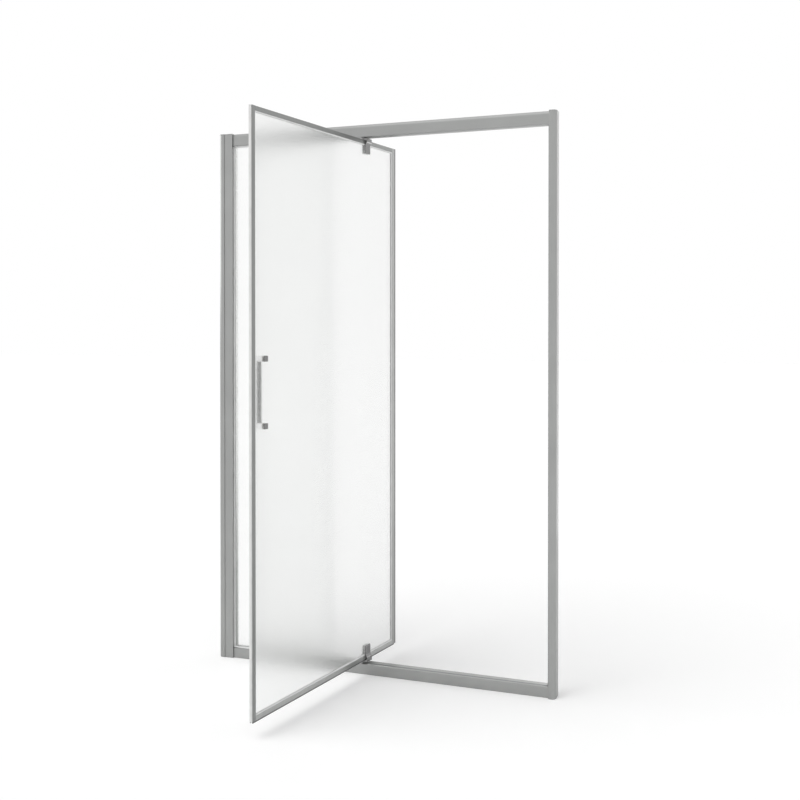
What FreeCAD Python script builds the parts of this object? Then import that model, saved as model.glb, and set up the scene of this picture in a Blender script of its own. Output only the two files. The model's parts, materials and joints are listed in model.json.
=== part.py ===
"""Framed pivot shower door with a fixed side panel, in millimetres, +Z up.

The origin is the middle of the sill's underside. +X runs along the opening to the strike side,
-Y is the bathroom side and +Y the shower side. The leaf is drawn in its own closed position
round the pivot axis (x towards the free edge, y towards the shower) and then turned open.
"""
import FreeCAD
import Part
import Sketcher
import math
import os

Vector = FreeCAD.Vector
SHEET = "Sizes"
FULL_TURN = 360

DRIVING_SIZES = (
    # the opening and its frame
    ("overall_width", 1200, "outside width, wall face to wall face"),
    ("overall_height", 1850, "outside height of the frame"),
    ("channel_depth", 46, "wall channel, front to back"),
    ("channel_width", 23, "wall channel, how far it stands off the wall"),
    ("channel_wall", 2, "wall channel, wall thickness"),
    ("channel_round", 14, "wall channel, radius of the corner at the front of the wall"),
    ("channel_lip_round", 0.9, "wall channel, radius of its front lip"),
    ("channel_back_round", 1.8, "wall channel, radius of its back corner at the wall"),
    ("channel_play", 0.2, "clearance of an upright in its channel"),
    ("upright_wall", 1.6, "uprights and rails, wall thickness"),
    ("upright_round", 1, "uprights, radius of their other outside corners"),
    ("left_upright_width", 44, "left upright, full width of its section"),
    ("left_upright_reach", 31, "left upright, visible width beyond its channel"),
    ("strike_upright_width", 20, "strike upright, full width of its section"),
    ("strike_upright_reach", 1.5, "strike upright, visible width beyond its channel"),
    ("cap_thickness", 2, "top caps, plate thickness"),
    ("cap_plug", 8, "top caps, length of the plug in the upright"),
    ("rail_setback", 7.8, "front of the rails behind the front of the channels"),
    ("top_rail_height", 43, "head rail height"),
    ("top_rail_round", 12, "head rail, radius of its upper front corner"),
    ("bottom_rail_height", 36, "sill rail height"),
    ("bottom_rail_round", 3, "sill rail, radius of its upper front corner"),
    ("edge_round", 2.2, "radius of the other outside corners of the rails"),
    ("port_radius", 1.7, "screw ports in the rails"),
    ("port_boss", 7, "side of the square boss round a screw port"),
    # fixed glass
    ("glass_thickness", 5, "glass of panel and leaf"),
    ("glass_plane", -5.5, "middle plane of the fixed glass"),
    ("slot_depth", 12, "glazing groove in uprights and rails, depth"),
    ("gasket_side", 1.5, "glazing gasket, thickness beside the glass"),
    ("gasket_base", 1, "glazing gasket, thickness under the edge of the glass"),
    ("fixed_edge", -185, "free vertical edge of the fixed glass"),
    ("edge_seal_wall", 1, "clear strip on the fixed glass, wall"),
    ("edge_seal_cover", 8, "clear strip on the fixed glass, width over the glass"),
    ("infill_height", 8, "strips that close the grooves in the doorway, height"),
    ("infill_wall", 1.2, "strips that close the grooves in the doorway, wall"),
    ("fit_play", 0.1, "clearance of snap-in strips and seals in their grooves"),
    ("end_play", 0.3, "end clearance of strips and seals"),
    ("soft_round", 0.8, "strips and seals, corner radius"),
    ("cut_margin", 1, "how far cuts run out of the piece"),
    # pivot
    ("pivot_place", -52, "pivot axis along the opening"),
    ("pivot_setback", 10, "pivot axis behind the middle plane of the frame"),
    ("open_angle", 100, "how far the leaf stands open"),
    ("pin_radius", 4, "pivot pins"),
    ("pin_reach", 22, "depth of the pivot pins in the rails"),
    ("running_play", 0.05, "radial clearance of pins in their bores"),
    ("bush_radius", 6.9, "pivot bushes, barrel radius"),
    ("bush_length", 24, "pivot bushes, barrel length"),
    ("flange_radius", 10, "pivot bushes, flange radius"),
    ("flange_thickness", 2, "pivot bushes, flange thickness"),
    ("bore_play", 0.1, "radial clearance of the bushes in rail and block"),
    ("block_length", 38, "pivot blocks along the rail"),
    ("block_height", 24, "pivot blocks, height"),
    ("block_play", 0.25, "clearance of the pivot blocks in the rail chamber"),
    ("block_screw_offset", 13, "pivot block screws beside the pivot axis"),
    ("washer_radius", 9, "thrust washer, outer radius"),
    ("washer_thickness", 1, "thrust washer thickness"),
    ("thrust_gap", 0.3, "running gap under the thrust washer"),
    ("head_gap", 0.5, "running gap over the upper bracket"),
    # leaf
    ("short_overlap", 58, "short end of the closed leaf behind the fixed glass"),
    ("door_gap", 8, "gap between the leaf and the rails"),
    ("leaf_thickness", 12, "thickness of the leaf's frame"),
    ("leaf_band", 14, "visible width of the leaf's frame"),
    ("leaf_round", 1, "leaf's frame, radius of the outside corners"),
    ("leaf_lip_round", 0.6, "leaf's frame, radius of the lips at the glass"),
    ("leaf_slot", 8.5, "glazing groove in the leaf's frame, depth"),
    ("groove_width", 6, "seal groove in the back of the stiles, width"),
    ("groove_depth", 2.5, "seal groove in the back of the stiles, depth"),
    ("magnet_head", 3, "magnetic strips, thickness outside their groove"),
    ("magnet_width", 9, "magnetic strip on the leaf, width"),
    ("magnet_round", 1.2, "magnetic strip on the leaf, corner radius"),
    ("magnet_gap", 0.5, "gap between the magnetic strips of a closed door"),
    ("strike_magnet_stand", 2, "magnetic strip on the strike upright, how far it stands out"),
    ("strike_groove_width", 8, "magnet groove in the strike upright, width"),
    ("strike_groove_depth", 4, "magnet groove in the strike upright, depth"),
    ("stop_lip", 8, "stop lip on the strike upright, projection"),
    ("stop_lip_wall", 2, "stop lip on the strike upright, thickness"),
    ("bumper_inset", 2, "stop seal, from the face of the strike upright"),
    ("bumper_gap", 0.6, "gap between the closed leaf and the stop seal"),
    ("short_seal", 10, "dark seal at the short end, width"),
    ("short_seal_body", 5, "dark seal, how far its body lies towards the bathroom"),
    ("short_seal_lip", 2.4, "dark seal, thickness of its lip"),
    ("short_seal_round", 3, "dark seal, radius of its outer corner"),
    ("short_seal_tip_round", 1, "dark seal, radius of its lip's tip"),
    ("short_seal_gap", 0.4, "gap between the seal's lip and the fixed glass"),
    ("drip_drop", 4, "drip seal, height under the leaf"),
    ("drip_width", 10, "drip seal, width"),
    ("drip_wall", 1.4, "drip seal, lip thickness"),
    # pivot brackets
    ("bracket_length", 30, "pivot brackets along the leaf"),
    ("bracket_height", 45, "pivot brackets, height from the edge of the leaf's frame"),
    ("pad_outer", 8, "flat face of a bracket, from the middle of the glass"),
    ("boss_outer", 14, "thick end of a bracket, from the middle of the glass"),
    ("flare_rise", 12.5, "height of the curve between flat face and thick end"),
    ("flare_foot", 7, "where the curve starts over the edge of the leaf's frame"),
    ("bracket_round", 1.5, "brackets and clamp plates, radius of the long edges"),
    ("pad_gasket", 0.8, "gaskets and washers on the glass, thickness"),
    ("plate_pad", 4.5, "clamp plate, thickness on the glass"),
    ("plate_wall", 4, "clamp plate, thickness on the frame"),
    ("plate_ramp", 3, "clamp plate, height of the slope to its thicker foot"),
    ("bracket_play", 0.3, "clearance of brackets beside the leaf's frame and the drip seal"),
    ("clamp_screw_place", 9.5, "clamp screws beside the pivot axis"),
    ("clamp_screw_height", 30, "clamp screws from the edge of the leaf's frame"),
    ("glass_hole_radius", 4, "holes through the glass"),
    # screws
    ("bolt_radius", 2.4, "clamp and handle screws, shank"),
    ("bolt_head_radius", 4.3, "clamp and handle screws, head radius"),
    ("bolt_head_height", 2.6, "clamp and handle screws, head height"),
    ("thread_spare", 0.5, "how far a blind hole runs past its screw"),
    ("thread_floor", 1, "brackets, wall behind the blind holes"),
    ("thread_play", 0.1, "radial clearance of a screw in its hole"),
    ("tapper_radius", 1.5, "self-tapping screws, shank"),
    ("tapper_head_radius", 3, "self-tapping screws, head radius"),
    ("tapper_head_height", 2.2, "self-tapping screws, head height"),
    ("tapper_bite", 12, "depth of the self-tapping screws in their port"),
    ("corner_head_radius", 2.5, "leaf corner screws, head radius"),
    ("corner_head_height", 2, "leaf corner screws, head height"),
    ("fixing_spacing", 775, "spacing of the wall holes and channel screws"),
    ("wall_hole_radius", 2.6, "wall holes in the channels"),
    ("channel_screw_inset", 8, "channel screws from the mouth of the channel"),
    ("cover_side", 11, "screw covers, side of the square"),
    ("cover_height", 3.8, "screw covers, height"),
    ("cover_wall", 1, "screw covers, wall"),
    # handle
    ("handle_inset", 65, "handle from the closing edge of the leaf"),
    ("handle_height", 982, "middle of the handle over the floor of the frame"),
    ("handle_centres", 195, "handle posts, centre to centre"),
    ("post_side", 17, "handle posts and inner caps, side of the square"),
    ("post_round", 1.5, "handle posts and inner caps, corner radius"),
    ("handle_reach", 27, "outside of the handle from the middle of the glass"),
    ("grip_side", 12, "grip bar, side of its section"),
    ("grip_round", 4, "grip bar, corner radius"),
    ("tenon_side", 8, "tenons of the grip bar, side"),
    ("tenon_length", 5, "tenons of the grip bar, length"),
    ("washer_inset", 0.5, "handle washers, from the side of a post"),
    ("handle_cap_height", 4.5, "inner caps, thickness"),
    ("handle_cap_floor", 1.3, "inner caps, wall over the screw head"),
    ("handle_bolt_bite", 12, "depth of the handle screws in the posts"),
)


class Dim:
    """A size and the spreadsheet expression that gives it."""

    def __init__(self, value, text):
        self.value = float(value)
        self.text = text

    def combine(self, other, sign, value):
        return Dim(value, "({} {} {})".format(self.text, sign, other.text))

    def __add__(self, other):
        other = as_dim(other)
        return self.combine(other, "+", self.value + other.value)

    def __sub__(self, other):
        other = as_dim(other)
        return self.combine(other, "-", self.value - other.value)

    def __mul__(self, other):
        other = as_dim(other)
        return self.combine(other, "*", self.value * other.value)

    def __truediv__(self, other):
        other = as_dim(other)
        return self.combine(other, "/", self.value / other.value)

    def __rmul__(self, other):
        return as_dim(other) * self

    def __neg__(self):
        return as_dim(-1) * self


def as_dim(thing):
    """Turn a plain number into a size without a cell."""
    if isinstance(thing, Dim):
        return thing
    return Dim(thing, "({:g})".format(thing))


class SizeTable:
    """The spreadsheet, with one attribute for each of its named cells."""

    def __init__(self, doc):
        self.sheet = doc.addObject("Spreadsheet::Sheet", SHEET)
        self.row = 0

    def write(self, name, content, value, note):
        self.row += 1
        cell = "B{}".format(self.row)
        self.sheet.set("A{}".format(self.row), name)
        self.sheet.set(cell, content)
        self.sheet.set("C{}".format(self.row), note)
        self.sheet.setAlias(cell, name)
        setattr(self, name, Dim(value, "{}.{}".format(SHEET, name)))

    def drive(self, name, value, note):
        self.write(name, str(value), value, note)

    def derive(self, name, dim, note):
        self.write(name, "=" + dim.text.replace(SHEET + ".", ""), dim.value, note)


doc = FreeCAD.newDocument("pivot_shower_door")
size = SizeTable(doc)
nodes = []


def fill_sheet():
    """Write the driving sizes and what follows from them."""
    for name, value, note in DRIVING_SIZES:
        size.drive(name, value, note)
    s = size
    s.derive("frame_height", s.overall_height - s.cap_thickness, "uprights and channels")
    s.derive("left_face", s.channel_width + s.left_upright_reach - s.overall_width / 2,
             "glass side of the left upright")
    s.derive("strike_face", s.overall_width / 2 - s.channel_width - s.strike_upright_reach,
             "door side of the strike upright")
    s.derive("upright_half", s.channel_depth / 2 - s.channel_wall - s.channel_play,
             "half the depth of the uprights")
    s.derive("rail_front", s.rail_setback - s.channel_depth / 2, "front face of the rails")
    s.derive("rail_back", s.upright_half, "back face of the rails")
    s.derive("rail_length", s.strike_face - s.left_face, "length of the rails")
    s.derive("head_face", s.overall_height - s.top_rail_height, "underside of the head rail")
    s.derive("slot_half", s.glass_thickness / 2 + s.gasket_side, "half a glazing groove")
    s.derive("chamber_front", s.glass_plane + s.slot_half + s.upright_wall,
             "front of the rear chamber of the rails")
    s.derive("chamber_back", s.rail_back - s.upright_wall, "back of the rails' rear chamber")
    s.derive("rear_port", s.chamber_back - s.port_boss / 2 + s.upright_wall,
             "rear screw ports, from the middle plane")
    s.derive("front_port", s.glass_plane + s.slot_half - s.port_boss / 2,
             "front screw ports, from the middle plane")
    s.derive("rear_port_depth", s.upright_wall + s.port_boss / 2,
             "rear screw ports, from the outside of the rail")
    s.derive("leaf_half", s.leaf_thickness / 2, "half the thickness of the leaf's frame")
    s.derive("leaf_foot", s.bottom_rail_height + s.door_gap + s.drip_drop,
             "lower edge of the leaf's frame")
    s.derive("leaf_top", s.head_face - s.door_gap, "upper edge of the leaf's frame")
    s.derive("free_length", s.strike_face - s.strike_magnet_stand - s.magnet_gap - s.pivot_place,
             "pivot axis to the closing edge of the leaf")
    s.derive("short_length", s.pivot_place - s.fixed_edge + s.short_overlap,
             "pivot axis to the short end of the leaf")
    s.derive("handle_place", s.free_length - s.handle_inset, "handle from the pivot axis")
    s.derive("stile_free", s.free_length - s.magnet_head, "outside of the handle stile")
    s.derive("stile_short", s.short_seal - s.short_length, "outside of the pivot stile")
    s.derive("leaf_web", s.leaf_band - s.leaf_slot, "solid part of the leaf's frame")
    s.derive("glass_half", s.glass_thickness / 2, "half the thickness of the glass")
    s.derive("pad_inner", s.glass_half + s.pad_gasket, "outside of the gaskets on the glass")
    s.derive("lower_reach", s.door_gap + s.drip_drop - s.flange_thickness
             - s.thrust_gap - s.washer_thickness, "lower bracket under the leaf's frame")
    s.derive("upper_reach", s.door_gap - s.flange_thickness - s.head_gap,
             "upper bracket over the leaf's frame")
    s.derive("flare_radius", ((s.boss_outer - s.pad_outer) * (s.boss_outer - s.pad_outer)
             + s.flare_rise * s.flare_rise) / (2 * (s.boss_outer - s.pad_outer)),
             "radius of the bracket's curve")


# ---------------------------------------------------------------- drawing helpers

def new_body(label):
    body = doc.addObject("PartDesign::Body", label)
    body.Label = label
    return body


def sketch_on(body, role, name, height=None):
    """Start a sketch on one of the body's own origin planes, or parallel to it."""
    sketch = body.newObject("Sketcher::SketchObject", name)
    plane = [item for item in body.Origin.OriginFeatures if item.Role == role][0]
    sketch.AttachmentSupport = [(plane, "")]
    sketch.MapMode = "FlatFace"
    if height is not None:
        sketch.setExpression("AttachmentOffset.Base.z", as_dim(height).text)
    return sketch


def pin_distance(sketch, kind, edge, end, dim):
    """Hold one coordinate of a point of the sketch at a size."""
    index = sketch.addConstraint(Sketcher.Constraint(kind, -1, 1, edge, end, dim.value))
    name = "{}_{}_{}".format(kind, edge, end)
    sketch.renameConstraint(index, name)
    sketch.setExpression("Constraints." + name, dim.text)


def hold_radius(sketch, edge, dim):
    index = sketch.addConstraint(Sketcher.Constraint("Radius", edge, dim.value))
    name = "Radius_{}".format(edge)
    sketch.renameConstraint(index, name)
    sketch.setExpression("Constraints." + name, dim.text)


def step_towards(corner, other, distance):
    """The point at a distance from a corner along its level or upright edge."""
    x, y = as_dim(corner[0]), as_dim(corner[1])
    dx = as_dim(other[0]).value - x.value
    dy = as_dim(other[1]).value - y.value
    if abs(dx) > abs(dy):
        return x + math.copysign(1, dx) * distance, y
    return x, y + math.copysign(1, dy) * distance


def path_points(corners):
    """Points of a loop, each with the arc that leads to it, if one does.

    A corner is (x, y), (x, y, radius) for a rounded right angle, or
    (x, y, radius, centre_x, centre_y, turns_left) for the end of a free arc.
    """
    points = []
    for index, corner in enumerate(corners):
        if len(corner) == 2:
            points.append((as_dim(corner[0]), as_dim(corner[1]), None))
        elif len(corner) == 3:
            radius = as_dim(corner[2])
            x_in, y_in = step_towards(corner, corners[index - 1], radius)
            x_out, y_out = step_towards(corner, corners[(index + 1) % len(corners)], radius)
            x, y = as_dim(corner[0]).value, as_dim(corner[1]).value
            turn = (x - x_in.value) * (y_out.value - y) - (y - y_in.value) * (x_out.value - x)
            centre = (x_in.value + x_out.value - x, y_in.value + y_out.value - y)
            points.append((x_in, y_in, None))
            points.append((x_out, y_out, (radius, centre, turn > 0)))
        else:
            x, y, radius, centre_x, centre_y, left = corner
            centre = (as_dim(centre_x).value, as_dim(centre_y).value)
            points.append((as_dim(x), as_dim(y), (as_dim(radius), centre, left)))
    return points


def edge_geometry(start, end):
    """The line or arc from one path point to the next, and which end of it comes first."""
    first = Vector(start[0].value, start[1].value, 0)
    last = Vector(end[0].value, end[1].value, 0)
    arc = end[2]
    if arc is None:
        return Part.LineSegment(first, last), 1
    radius, (centre_x, centre_y), left = arc
    circle = Part.Circle(Vector(centre_x, centre_y, 0), Vector(0, 0, 1), radius.value)
    from_angle = math.atan2(first.y - centre_y, first.x - centre_x)
    to_angle = math.atan2(last.y - centre_y, last.x - centre_x)
    if left:
        return Part.ArcOfCircle(circle, from_angle, to_angle), 1
    return Part.ArcOfCircle(circle, to_angle, from_angle), 2


def draw_loop(sketch, corners):
    """Draw a closed, fully dimensioned loop through the corners."""
    points = path_points(corners)
    count = len(points)
    base = sketch.GeometryCount
    first_ends = []
    for index in range(count):
        geometry, first_end = edge_geometry(points[index - 1], points[index])
        sketch.addGeometry(geometry, False)
        first_ends.append(first_end)
    for index in range(count):
        edge = base + index
        follower = base + (index + 1) % count
        last_end = 3 - first_ends[index]
        sketch.addConstraint(Sketcher.Constraint(
            "Coincident", edge, last_end, follower, first_ends[(index + 1) % count]))
        pin_distance(sketch, "DistanceX", edge, last_end, points[index][0])
        pin_distance(sketch, "DistanceY", edge, last_end, points[index][1])
        if points[index][2] is not None:
            hold_radius(sketch, edge, points[index][2][0])


def draw_circle(sketch, x, y, radius):
    x, y, radius = as_dim(x), as_dim(y), as_dim(radius)
    edge = sketch.GeometryCount
    centre = Vector(x.value, y.value, 0)
    sketch.addGeometry(Part.Circle(centre, Vector(0, 0, 1), radius.value), False)
    pin_distance(sketch, "DistanceX", edge, 3, x)
    pin_distance(sketch, "DistanceY", edge, 3, y)
    hold_radius(sketch, edge, radius)


def rectangle(x_low, y_low, x_high, y_high, radius=None):
    corners = ((x_low, y_low), (x_high, y_low), (x_high, y_high), (x_low, y_high))
    if radius is None:
        return corners
    return [corner + (radius,) for corner in corners]


def pad(body, sketch, length, symmetric=False, down=False):
    feature = body.newObject("PartDesign::Pad", sketch.Name + "_pad")
    feature.Profile = sketch
    feature.setExpression("Length", as_dim(length).text)
    feature.SideType = "Symmetric" if symmetric else "One side"
    feature.Reversed = down
    return feature


def pocket(body, sketch, depth):
    """Cut to the depth on both sides of the sketch's plane."""
    feature = body.newObject("PartDesign::Pocket", sketch.Name + "_cut")
    feature.Profile = sketch
    feature.setExpression("Length", (as_dim(depth) * 2).text)
    feature.SideType = "Symmetric"
    return feature


def turned(label, corners):
    """A body turned round its own Z axis from a half profile of (radius, height) corners."""
    body = new_body(label)
    sketch = sketch_on(body, "XZ_Plane", label + "_profile")
    draw_loop(sketch, corners)
    feature = body.newObject("PartDesign::Revolution", label + "_turn")
    feature.Profile = sketch
    feature.ReferenceAxis = (sketch, ["V_Axis"])
    feature.Angle = FULL_TURN
    return body


def pan_screw(label, radius, length, head_radius, head_height):
    """A screw whose round head sits on Z = 0 and whose shank runs up to +Z."""
    return turned(label, (
        (0, -head_height), (head_radius, -head_height), (head_radius, 0), (radius, 0),
        (radius, length), (0, length)))


def hex_screw(label, radius, length, head_radius, head_height):
    """A screw as above with a six-sided head."""
    body = new_body(label)
    head = sketch_on(body, "XY_Plane", label + "_head")
    side = head_radius * math.sin(math.pi / 3)
    half = head_radius / 2
    draw_loop(head, (
        (head_radius, 0), (half, side), (-half, side), (-head_radius, 0), (-half, -side),
        (half, -side)))
    pad(body, head, head_height, down=True)
    shank = sketch_on(body, "XY_Plane", label + "_shank")
    draw_circle(shank, 0, 0, radius)
    pad(body, shank, length)
    return body


def placement_text(x, y, z, yaw=0, pitch=0, roll=0):
    parts = [as_dim(item).text for item in (x, y, z, yaw, pitch, roll)]
    return "placement(vector({}; {}; {}); rotation({}; {}; {}))".format(*parts)


def fix(thing, x, y, z, pitch=0, roll=0):
    """Place a piece of the fixed frame."""
    thing.setExpression("Placement", placement_text(x, y, z, 0, pitch, roll))


def hang(thing, x=0, y=0, z=0, pitch=0, roll=0):
    """Place a piece of the leaf, given in the closed leaf's own axes, on the open leaf."""
    swing = placement_text(size.pivot_place, size.pivot_setback, 0, -size.open_angle)
    thing.setExpression("Placement", swing + " * " + placement_text(x, y, z, 0, pitch, roll))


def keep(thing):
    """Count a finished piece as a sub-part."""
    nodes.append(thing)


def keep_group(label, things):
    """Count several like pieces as one sub-part of separate solids."""
    group = doc.addObject("Part::Compound", label)
    group.Label = label
    group.Links = things
    keep(group)


# ---------------------------------------------------------------- fixed frame

def fixing_heights():
    """Heights of the wall holes and channel screws."""
    middle = size.frame_height / 2
    return (middle - size.fixing_spacing, middle, middle + size.fixing_spacing)


def wall_channel(label):
    """Open channel that is screwed to the wall, with a rounded front corner."""
    s = size
    body = new_body(label)
    section = sketch_on(body, "XY_Plane", label + "_section")
    half = s.channel_depth / 2
    wall = s.channel_wall
    draw_loop(section, (
        (0, -half, s.channel_round), (s.channel_width, -half, s.channel_lip_round),
        (s.channel_width, wall - half), (wall, wall - half, s.channel_round - wall),
        (wall, half - wall), (s.channel_width, half - wall), (s.channel_width, half),
        (0, half, s.channel_back_round)))
    pad(body, section, s.frame_height)
    holes = sketch_on(body, "YZ_Plane", label + "_wall_holes")
    for height in fixing_heights():
        draw_circle(holes, 0, height, s.wall_hole_radius)
    pocket(body, holes, s.channel_wall + s.cut_margin)
    side_holes = sketch_on(body, "XZ_Plane", label + "_side_holes", -half)
    for height in fixing_heights():
        draw_circle(side_holes, s.channel_width - s.channel_screw_inset, height,
                    s.tapper_radius + s.thread_play)
    pocket(body, side_holes, s.channel_wall + s.cut_margin)
    keep(body)
    return body


def port_places(height):
    """Screw ports of a rail: (from the middle plane, from the rail's outside)."""
    s = size
    front_depth = height - s.slot_depth - s.upright_wall - s.port_boss / 2
    return ((s.rear_port, s.rear_port_depth), (s.front_port, front_depth))


def corner_screw_places():
    """Screws between uprights and rails: (from the middle plane, height)."""
    s = size
    lower = [(y, depth) for y, depth in port_places(s.bottom_rail_height)]
    upper = [(y, s.overall_height - depth) for y, depth in port_places(s.top_rail_height)]
    return lower + upper


def drill_upright(body, label, inset, width):
    """Holes for the corner screws and for the channel screws."""
    s = size
    cross = sketch_on(body, "YZ_Plane", label + "_cross_holes")
    for y, height in corner_screw_places():
        draw_circle(cross, y, height, s.tapper_radius + s.thread_play)
    pocket(body, cross, width + s.cut_margin)
    side = sketch_on(body, "XZ_Plane", label + "_side_holes", -s.upright_half)
    for height in fixing_heights():
        draw_circle(side, inset, height, s.tapper_radius + s.thread_play)
    pocket(body, side, s.upright_wall + s.cut_margin)


def left_upright():
    """Hollow upright with the glazing groove; x = 0 is its glass side."""
    s = size
    label = "left_upright"
    body = new_body(label)
    section = sketch_on(body, "XY_Plane", "left_upright_section")
    half = s.upright_half
    wall = s.upright_wall
    nested = s.channel_round - s.channel_wall - s.channel_play
    groove_low = s.glass_plane - s.slot_half
    groove_high = s.glass_plane + s.slot_half
    draw_loop(section, (
        (-s.left_upright_width, -half, nested), (0, -half, s.upright_round),
        (0, groove_low), (-s.slot_depth, groove_low),
        (-s.slot_depth, groove_high), (0, groove_high),
        (0, half, s.upright_round), (-s.left_upright_width, half, s.upright_round)))
    draw_loop(section, (
        (wall - s.left_upright_width, wall - half, nested - wall),
        (-s.slot_depth - wall, wall - half), (-s.slot_depth - wall, half - wall),
        (wall - s.left_upright_width, half - wall)))
    draw_loop(section, rectangle(-s.slot_depth, groove_high + wall, -wall, half - wall))
    draw_loop(section, rectangle(-s.slot_depth, wall - half, -wall, groove_low - wall))
    pad(body, section, s.frame_height)
    drill_upright(body, label, -s.left_upright_reach - s.channel_screw_inset,
                  s.left_upright_width)
    fix(body, s.left_face, 0, 0)
    keep(body)


def strike_upright():
    """Hollow upright with magnet groove and stop lip; x = 0 is its door side."""
    s = size
    label = "strike_upright"
    body = new_body(label)
    section = sketch_on(body, "XY_Plane", "strike_upright_section")
    half = s.upright_half
    wall = s.upright_wall
    nested = s.channel_round - s.channel_wall - s.channel_play
    groove_low = s.pivot_setback - s.strike_groove_width / 2
    groove_high = s.pivot_setback + s.strike_groove_width / 2
    width = s.strike_upright_width
    draw_loop(section, (
        (0, -half, s.upright_round), (width, -half, nested), (width, half, s.upright_round),
        (-s.stop_lip, half), (-s.stop_lip, half - s.stop_lip_wall),
        (0, half - s.stop_lip_wall), (0, groove_high), (s.strike_groove_depth, groove_high),
        (s.strike_groove_depth, groove_low), (0, groove_low)))
    inner = s.strike_groove_depth + wall
    draw_loop(section, (
        (wall, wall - half), (width - wall, wall - half, nested - wall),
        (width - wall, half - wall), (wall, half - wall), (wall, groove_high + wall),
        (inner, groove_high + wall), (inner, groove_low - wall), (wall, groove_low - wall)))
    pad(body, section, s.frame_height)
    notches = sketch_on(body, "XZ_Plane", "strike_upright_lip_notches", -half)
    lip_end = s.stop_lip + s.cut_margin
    draw_loop(notches, rectangle(-lip_end, -s.cut_margin, 0, s.bottom_rail_height))
    draw_loop(notches, rectangle(-lip_end, s.head_face, 0, s.overall_height + s.cut_margin))
    pocket(body, notches, s.stop_lip_wall + s.cut_margin)
    drill_upright(body, label, s.strike_upright_reach + s.channel_screw_inset, width)
    fix(body, s.strike_face, 0, 0)
    keep(body)


def rail(label, height, outer_round, mouth_round, pivot_at):
    """Hollow rail along +X whose groove opens to +Z; its outside lies on Z = 0."""
    s = size
    body = new_body(label)
    section = sketch_on(body, "YZ_Plane", label + "_section")
    wall = s.upright_wall
    groove_low = s.glass_plane - s.slot_half
    groove_high = s.glass_plane + s.slot_half
    floor = height - s.slot_depth
    boss = s.port_boss
    draw_loop(section, (
        (s.rail_front, 0, outer_round), (s.rail_back, 0, s.edge_round),
        (s.rail_back, height, s.edge_round), (groove_high, height), (groove_high, floor),
        (groove_low, floor), (groove_low, height), (s.rail_front, height, mouth_round)))
    draw_loop(section, (
        (s.chamber_front, wall), (s.chamber_back - boss, wall),
        (s.chamber_back - boss, wall + boss), (s.chamber_back, wall + boss),
        (s.chamber_back, height - wall), (s.chamber_front, height - wall)))
    draw_loop(section, (
        (s.rail_front + wall, wall, outer_round - wall), (groove_high, wall),
        (groove_high, floor - wall - boss), (groove_high - boss, floor - wall - boss),
        (groove_high - boss, floor - wall), (s.rail_front + wall, floor - wall)))
    for y, depth in port_places(height):
        draw_circle(section, y, depth, s.port_radius)
    pad(body, section, s.rail_length)
    bore = sketch_on(body, "XY_Plane", label + "_bore", height)
    draw_circle(bore, pivot_at, s.pivot_setback, s.bush_radius + s.bore_play)
    pocket(body, bore, wall + s.cut_margin)
    screws = sketch_on(body, "XZ_Plane", label + "_block_screw_holes", -s.rail_back)
    for side in (-1, 1):
        draw_circle(screws, pivot_at + side * s.block_screw_offset, block_middle(height),
                    s.tapper_radius + s.thread_play)
    pocket(body, screws, wall + s.cut_margin)
    keep(body)
    return body


def block_middle(height):
    """Middle of a pivot block, from the rail's outside."""
    return height - size.upright_wall - size.block_play - size.block_height / 2


def pivot_block(label):
    """Nylon block that carries the bush; x = 0, y = 0 is the pivot axis."""
    s = size
    body = new_body(label)
    outline = sketch_on(body, "XY_Plane", label + "_outline")
    front = s.chamber_front + s.block_play - s.pivot_setback
    back = s.chamber_back - s.block_play - s.pivot_setback
    draw_loop(outline, rectangle(-s.block_length / 2, front, s.block_length / 2, back))
    draw_circle(outline, 0, 0, s.bush_radius + s.bore_play)
    pad(body, outline, s.block_height, symmetric=True)
    screws = sketch_on(body, "XZ_Plane", label + "_screw_holes", -back)
    for side in (-1, 1):
        draw_circle(screws, side * s.block_screw_offset, 0, s.tapper_radius + s.thread_play)
    pocket(body, screws, s.tapper_bite)
    keep(body)
    return body


def pivot_bush(label):
    """Flanged bush; its flange sits on Z = 0 and its barrel runs down."""
    s = size
    bore = s.pin_radius + s.running_play
    body = turned(label, (
        (bore, -s.bush_length), (s.bush_radius, -s.bush_length), (s.bush_radius, 0),
        (s.flange_radius, 0), (s.flange_radius, s.flange_thickness),
        (bore, s.flange_thickness)))
    keep(body)
    return body


def rails_and_pivots():
    """Both rails with the blocks, bushes and screws that carry the leaf."""
    s = size
    sill = rail("bottom_rail", s.bottom_rail_height, s.edge_round, s.bottom_rail_round,
                s.pivot_place - s.left_face)
    fix(sill, s.left_face, 0, 0)
    head = rail("top_rail", s.top_rail_height, s.top_rail_round, s.edge_round,
                s.strike_face - s.pivot_place)
    fix(head, s.strike_face, 0, s.overall_height, pitch=180)
    low_middle = block_middle(s.bottom_rail_height)
    high_middle = s.overall_height - block_middle(s.top_rail_height)
    fix(pivot_block("lower_pivot_block"), s.pivot_place, s.pivot_setback, low_middle)
    fix(pivot_block("upper_pivot_block"), s.pivot_place, s.pivot_setback, high_middle)
    fix(pivot_bush("lower_pivot_bush"), s.pivot_place, s.pivot_setback, s.bottom_rail_height)
    fix(pivot_bush("upper_pivot_bush"), s.pivot_place, s.pivot_setback, s.head_face, pitch=180)
    screws = []
    for name, middle in (("lower", low_middle), ("upper", high_middle)):
        for side in (-1, 1):
            screw = pan_screw("{}_block_screw_{}".format(name, len(screws) + 1),
                                 s.tapper_radius, s.tapper_bite,
                                 s.tapper_head_radius, s.tapper_head_height)
            fix(screw, s.pivot_place + side * s.block_screw_offset, s.rail_back, middle, roll=90)
            screws.append(screw)
    keep_group("pivot_block_screws", screws)


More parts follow.
